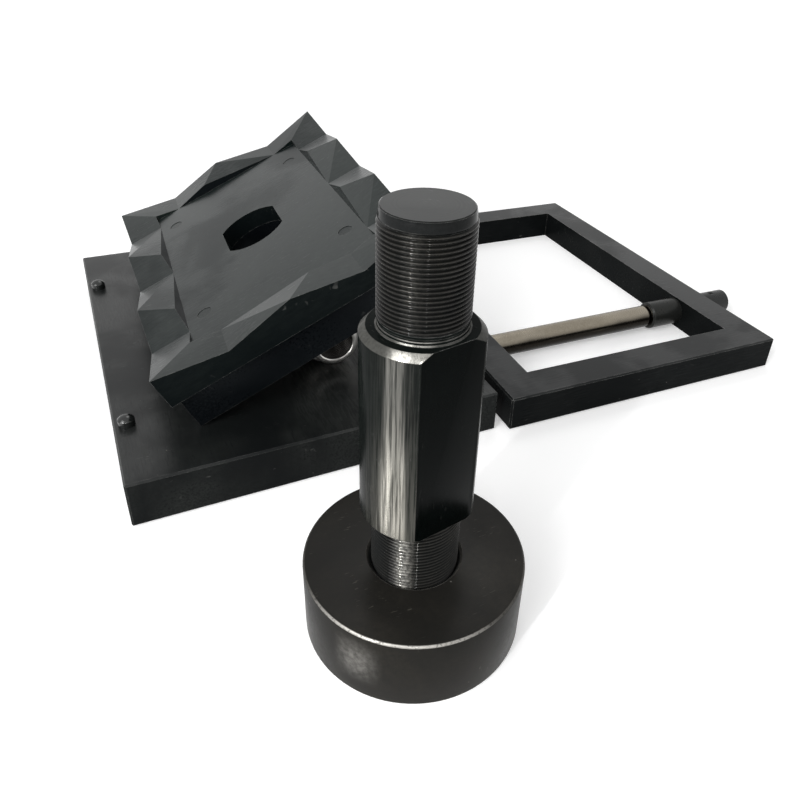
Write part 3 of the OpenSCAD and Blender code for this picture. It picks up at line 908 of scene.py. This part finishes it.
class PUNCH_SET_OT_draw_stud(bpy.types.Operator):
    """Draw stud with two real threads and a body with two flats"""

    bl_idname = "punch_set.draw_stud"
    bl_label = "Draw stud"

    def execute(self, context):
        size = context.scene.punch_set_stud
        threads = [
            worn_metal(
                name, stud_place(), cloud=THREAD_CLOUD, rough=0.1, spread=0.05, specular=0.4,
                ior=1.25, bump=0.002, wear=0.0, nicks=0.0, speck=0.2,
                shape=thread_tone(radius, size.depth, size.worn_side + 0.1, worn),
            )
            # The last value is how strong the band of bare steel is: partly wear, partly a painted
            # reflection
            for name, radius, worn in (("low_thread", size.low_radius, 0.5),
                                       ("top_thread", size.top_radius, 0.03))
        ]
        bm = bmesh.new()
        self.body(bm, size)
        self.neck(bm, size)
        self.end(bm, size)
        piece = turned_piece("draw_stud_turned", bm, self.finishes(size),
                             self.threads(size, *threads), stud_place())
        standing_in(piece, "draw_stud", "dark_steel", "draw_stud")
        return {"FINISHED"}

    def finishes(self, size):
        """Finishes of the round body, the flats, the top disc and the cone, in that order."""
        place = stud_place()
        return (
            worn_metal(
                "stud_body", place, *BODY_TONES, rough=0.22, stretch=(1.0, 1.0, 0.15),
                bump=0.003, wear=0.35, nicks=0.1, specular=0.45, ior=1.07,
                shape=body_wear_and_sheen(size.worn_side, size.body_foot, size.body_length),
            ),
            worn_metal(
                "stud_flat", place, *FLAT_TONES, rough=0.2, spread=0.04,
                stretch=(1.0, 1.0, 0.15), bump=0.002, wear=0.35, nicks=0.05, speck=0.25,
                specular=0.5, ior=1.1,
            ),
            worn_metal(
                "stud_end", place, rough=0.34, spread=0.06, specular=0.22, bump=0.004, wear=0.5,
                wear_radius=0.25, nicks=0.25, speck=0.6, marks=0.5, mark_scale=1500.0,
            ),
            worn_metal(
                "stud_cone", place, *CONE_TONES, rough=0.15, spread=0.05, specular=0.5,
                ior=1.18, bump=0.003, wear=0.5, nicks=0.1,
            ),
        )

    def body(self, bm, size):
        """The body: a turned shell cut by two flats, with its edges broken."""
        foot, top = size.body_foot, size.body_foot + size.body_length
        chamfer, broken = 1.2 * MM, 0.25 * MM
        turned_shell(bm, [
            (0, foot), (size.body_radius - chamfer, foot), (size.body_radius, foot + chamfer),
            (size.body_radius, top - size.shoulder), (size.body_radius - size.shoulder, top),
            (0, top),
        ], 2 * SEGMENTS)
        for side in (1, -1):
            cut = bmesh.ops.bisect_plane(
                bm, geom=bm.verts[:] + bm.edges[:] + bm.faces[:],
                plane_co=(side * size.across_flats / 2, 0, 0), plane_no=(side, 0, 0),
                clear_outer=True,
            )
            rim = [e for e in cut["geom_cut"] if isinstance(e, bmesh.types.BMEdge)]
            bmesh.ops.edgeloop_fill(bm, edges=rim)
        bmesh.ops.recalc_face_normals(bm, faces=bm.faces[:])
        keen = [e for e in bm.edges
                if len(e.link_faces) == 2 and e.calc_face_angle(0) > math.radians(25)]
        bmesh.ops.bevel(bm, geom=keen, offset=broken, segments=2, profile=0.6, affect="EDGES")
        for face in bm.faces:
            face.material_index = int(abs(face.normal.x) > 0.999)

    def neck(self, bm, size):
        """The undercut between body and thread, with its two thin rings."""
        top = size.body_foot + size.body_length
        radius, end = neck_radius(size), top + size.undercut + 0.3 * MM
        steps = ((-1, 0.5), (0.12, 0.5), (0.5, 0.1), (1.2, 0), (1.4, -0.25), (2, -0.25), (2.2, 0))
        turned_shell(bm, [
            (0, top - 1 * MM), *((radius + out * MM, top + up * MM) for up, out in steps),
            (radius, end), (0, end),
        ])

    def end(self, bm, size):
        """The narrowed upper end, from just inside the thread to the disc on top."""
        narrowed, cone_length = size.end_cone
        end = size.body_foot + size.body_length + size.undercut + size.top_length
        cone, lip, radius = end - cone_length, 0.3 * MM, neck_radius(size)
        disc = size.top_radius - narrowed
        faces = turned_shell(bm, [
            (0, cone - 1 * MM), (radius - 0.5 * MM, cone - 1 * MM),
            (radius - 0.1 * MM, cone - 0.3 * MM), (radius, cone + 0.1 * MM),
            (disc + lip * narrowed / cone_length, end - lip), (disc - lip, end), (0, end),
        ])
        for face in faces:
            face.normal_update()
            face.material_index = 2 if face.normal.z > 0.8 else 3

    def threads(self, size, low_thread, top_thread):
        """The values of the lower and of the upper thread."""
        _, low, _ = node_centre("draw_stud")
        low_start = low.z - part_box("counter_nut")[0][2]
        low_length = size.body_foot + 1 * MM - low_start
        top_length = size.top_length - size.end_cone[1]
        top_start = size.body_foot + size.body_length + size.undercut
        return [
            {"radius": radius, "depth": size.depth, "length": length,
             "turns": round(length / size.pitch), "side": 1.0, "start": (0, 0, start),
             "closed": ("bottom", "top"), "material": material}
            for radius, start, length, material in (
                (size.low_radius, low_start, low_length, low_thread),
                (size.top_radius, top_start, top_length, top_thread))
        ]


def rim_wear_and_highlight(n, at, colour, roughness, fine, broad):
    """Bare steel on the nut's rims, worn and brightest on one side as a painted highlight, and a
    painted highlight of bare steel in one patch on its wall.
    """
    rim_highlight_side, highlight_side, highlight_height = math.radians(-125), math.radians(-143), 18 * MM
    x, y, z = n.split(at)
    around = n.math("ARCTAN2", y, x)
    off_rim = n.gap(around, rim_highlight_side)
    slope = n.math("ABSOLUTE", n.own_rise())
    # Worn rims, with a painted highlight: strongest on one side
    worn = n.times(
        n.ramp(slope, 0.2, 0.45), n.ramp(slope, 0.86, 0.97, 1.0, 0.0),
        n.ramp(n.noise(at, 900.0, 3.0, 0.6), 0.3, 0.5, 0.35, 1.0),
        n.ramp(off_rim, 0.4, 1.0, 0.6, 0.08),
    )
    # Painted highlight: a soft patch of bare steel on the wall
    off_highlight, above = n.gap(around, highlight_side), n.gap(z, highlight_height)
    patch = n.times(
        n.ramp(off_highlight, 0.02, 0.26, 1.0, 0.0), n.ramp(above, 1 * MM, 13 * MM, 0.22, 0.0),
        n.ramp(n.noise(at, 420.0, 3.0, 0.6), 0.25, 0.75, 0.35, 1.0),
    )
    bare_and_highlight = n.most(worn, patch)
    return n.mix(bare_and_highlight, colour, NUT_BARE_AND_HIGHLIGHT), roughness, bare_and_highlight


class PUNCH_SET_OT_counter_nut(bpy.types.Operator):
    """Round counter nut with a tapped bore and worn rims, with a painted highlight on one side of
    the rims and in a patch on its wall
    """

    bl_idname = "punch_set.counter_nut"
    bl_label = "Counter nut"

    def execute(self, context):
        size = context.scene.punch_set_stud
        centre, low, high = node_centre("counter_nut")
        place = ((centre.x, centre.y, low.z), NO_TURN)
        oxide = worn_metal(
            "nut_oxide", place, *NUT_TONES, context.scene.punch_set_colours.warm_steel,
            rough=0.36, specular=0.4, ior=1.15, oil=0.12, grain=520.0, bump=0.008, wear=0.3,
            nicks=0.15, speck=0.7, marks=0.25, mark_scale=2200.0, shape=rim_wear_and_highlight,
        )
        bore = worn_metal("nut_thread", place, rough=0.35, wear=0.0, nicks=0.0, marks=0.3)
        radius, height = (high.x - low.x) / 2, high.z - low.z
        crest = size.low_radius + 0.05 * MM
        bore_rim = crest + size.depth
        rim, mouth = 1.2 * MM, 0.9 * MM
        bm = bmesh.new()
        turned_shell(bm, [
            (bore_rim, mouth), (bore_rim + mouth, 0), *arc(radius - rim, rim, rim, -90, 0),
            *arc(radius - rim, height - rim, rim, 0, 90), (bore_rim + mouth, height),
            (bore_rim, height - mouth),
        ])
        piece = turned_piece("counter_nut_turned", bm, [oxide], [
            {"radius": crest, "depth": size.depth, "length": height - 2 * mouth,
             "turns": round(height / size.pitch) - 1, "side": -1.0, "start": (0, 0, mouth),
             "closed": (), "material": bore},
        ], place)
        standing_in(piece, "counter_nut", "blackened_steel", "counter_nut")
        return {"FINISHED"}


class PUNCH_SET_OT_adapter(bpy.types.Operator):
    """Round adapter with a turned nose and a tapped hole"""

    bl_idname = "punch_set.adapter"
    bl_label = "Adapter"

    def execute(self, context):
        size = context.scene.punch_set_adapter
        place = adapter_place()
        bright = worn_metal(
            "adapter_steel", place, *ADAPTER_TONES, context.scene.punch_set_colours.polished,
            metallic=1.0, rough=0.32, wear=0.0, nicks=0.3, marks=0.8, mark_scale=3500.0,
        )
        # The tapped hole takes dark tones as painted shade
        bore = worn_metal(
            "adapter_thread", place, *BORE_SHADE_TONES, metallic=0.6, wear=0.0, nicks=0.0, marks=0.3,
        )
        pitch, depth = 1.5 * MM, 0.7 * MM
        nose, body, end = size.nose_radius, size.radius, size.nose_length + size.length
        rim, lip, mouth, hole = 1 * MM, 2 * MM, 0.5 * MM, size.tapped_radius + depth
        bm = bmesh.new()
        turned_shell(bm, [
            (0, end), (body - rim, end), (body, end - rim), (body, size.nose_length + rim),
            (body - rim, size.nose_length), (nose, size.nose_length),
            *arc(nose - lip, lip, lip, 0, -90), (hole + mouth, 0), (hole, mouth),
        ])
        bmesh.ops.reverse_faces(bm, faces=bm.faces[:])
        piece = turned_piece("adapter_turned", bm, [bright], [
            {"radius": size.tapped_radius, "depth": depth, "length": size.tapped_depth - mouth,
             "turns": round(size.tapped_depth / pitch), "side": -1.0, "start": (0, 0, mouth),
             "closed": ("top",), "material": bore},
        ], place)
        standing_in(piece, "adapter", "polished_steel", "adapter")
        return {"FINISHED"}


class PUNCH_SET_OT_studio(bpy.types.Operator):
    """Pale floor, soft lamps and the camera"""

    bl_idname = "punch_set.studio"
    bl_label = "Studio"

    def execute(self, context):
        settings = context.scene.punch_set_studio
        self.floor(settings)
        self.sky(settings)
        self.lamps(settings)
        self.camera(settings)
        context.scene.view_settings.view_transform = "Standard"
        return {"FINISHED"}

    def floor(self, settings):
        bm = bmesh.new()
        bmesh.ops.create_grid(bm, x_segments=1, y_segments=1, size=12)
        floor = new_object("floor", mesh_from(bm, "floor"))
        material = bpy.data.materials.new("pale_floor")
        material.use_nodes = True
        n = Nodes(material.node_tree)
        at = n.add("ShaderNodeTexCoord").outputs["Object"]
        tone = n.mix(n.noise(at, 60.0, 3.0), *FLOOR_TONES)
        away = n.add("ShaderNodeVectorMath", at, operation="LENGTH").outputs["Value"]
        lift = n.ramp(away, 0.5, 1.5, settings.lift, 2 * settings.lift)
        shader = n.add("ShaderNodeBsdfPrincipled", named={
            "Base Color": tone, "Roughness": 0.8, "Emission Color": (1, 1, 1, 1),
            "Emission Strength": n.times(n.seen_ray(), lift),
        })
        shader.inputs["Specular IOR Level"].default_value = 0.1
        n.add("ShaderNodeOutputMaterial", shader.outputs[0])
        floor.data.materials.append(material)

    def sky(self, settings):
        world = bpy.data.worlds.new("studio_sky")
        world.use_nodes = True
        n = Nodes(world.node_tree)
        strength = n.math("MULTIPLY_ADD", n.seen_ray(), 1 - settings.sky, settings.sky)
        light = n.add("ShaderNodeBackground", (1, 1, 1, 1), strength)
        n.add("ShaderNodeOutputWorld", light.outputs[0])
        bpy.context.scene.world = world

    def lamps(self, settings):
        lamps = (
            ("key_lamp", (-1.18, -0.63, 1.18), (1.0, 1.0), settings.key),
            ("rim_lamp", (0.5, 0.8, 1.7), (0.7, 0.7), settings.rim),
            ("left_strip", (-1.1, -0.86, 0.6), (0.015, 1.0), settings.strip),
            ("front_strip", (-0.42, -1.35, 0.9), (0.012, 0.9), settings.strip / 2),
        )
        for name, place, size, power in lamps:
            light = bpy.data.lights.new(name, "AREA")
            light.shape, light.energy = "RECTANGLE", power
            light.size, light.size_y = size
            lamp = new_object(name, light)
            lamp.location = place
            beam = Vector(LAMP_AIM) - Vector(place)
            lamp.rotation_euler = beam.to_track_quat("-Z", "Y").to_euler()

    def camera(self, settings):
        lens = bpy.data.cameras.new("camera")
        lens.sensor_width = 36
        lens.lens = settings.lens
        lens.shift_x, lens.shift_y = settings.shift
        lens.clip_start, lens.clip_end = 0.01, 30
        camera = new_object("camera", lens)
        turn = Matrix.Rotation(settings.yaw, 3, "Z")
        forward = turn @ Vector((0, math.cos(settings.pitch), -math.sin(settings.pitch)))
        right = turn @ Vector((1, 0, 0))
        up = right.cross(forward)
        c, s = math.cos(settings.roll), math.sin(settings.roll)
        across, above = c * right + s * up, c * up - s * right
        camera.matrix_world = (
            Matrix.Translation(settings.camera_place)
            @ Matrix((across, above, -forward)).transposed().to_4x4()
        )
        bpy.context.scene.camera = camera


class PUNCH_SET_PT_panel(bpy.types.Panel):
    """Lists the settings and the pieces"""

    bl_label = "Punch Set"
    bl_idname = "PUNCH_SET_PT_panel"
    bl_space_type = "VIEW_3D"
    bl_region_type = "UI"
    bl_category = "Punch Set"

    def draw(self, context):
        for name, settings in SETTINGS.items():
            box = self.layout.box()
            box.label(text=settings.__doc__)
            for prop in settings.__annotations__:
                box.prop(getattr(context.scene, name), prop)
        for operator in PIECES:
            self.layout.operator(operator.bl_idname)


PIECES = (
    PUNCH_SET_OT_base_plate,
    PUNCH_SET_OT_locating_pins,
    PUNCH_SET_OT_die,
    PUNCH_SET_OT_cross_bar,
    PUNCH_SET_OT_punch,
    PUNCH_SET_OT_draw_stud,
    PUNCH_SET_OT_counter_nut,
    PUNCH_SET_OT_adapter,
    PUNCH_SET_OT_studio,
)


def register():
    for group in (*SETTINGS.values(), *PIECES, PUNCH_SET_PT_panel):
        bpy.utils.register_class(group)
    for name, group in SETTINGS.items():
        setattr(bpy.types.Scene, name, bpy.props.PointerProperty(type=group))


def unregister():
    for name in SETTINGS:
        delattr(bpy.types.Scene, name)
    for group in (PUNCH_SET_PT_panel, *reversed(PIECES), *reversed(SETTINGS.values())):
        bpy.utils.unregister_class(group)


def main():
    register()
    for operator in PIECES:
        group, name = operator.bl_idname.split(".")
        getattr(getattr(bpy.ops, group), name)()


if __name__ == "__main__":
    main()
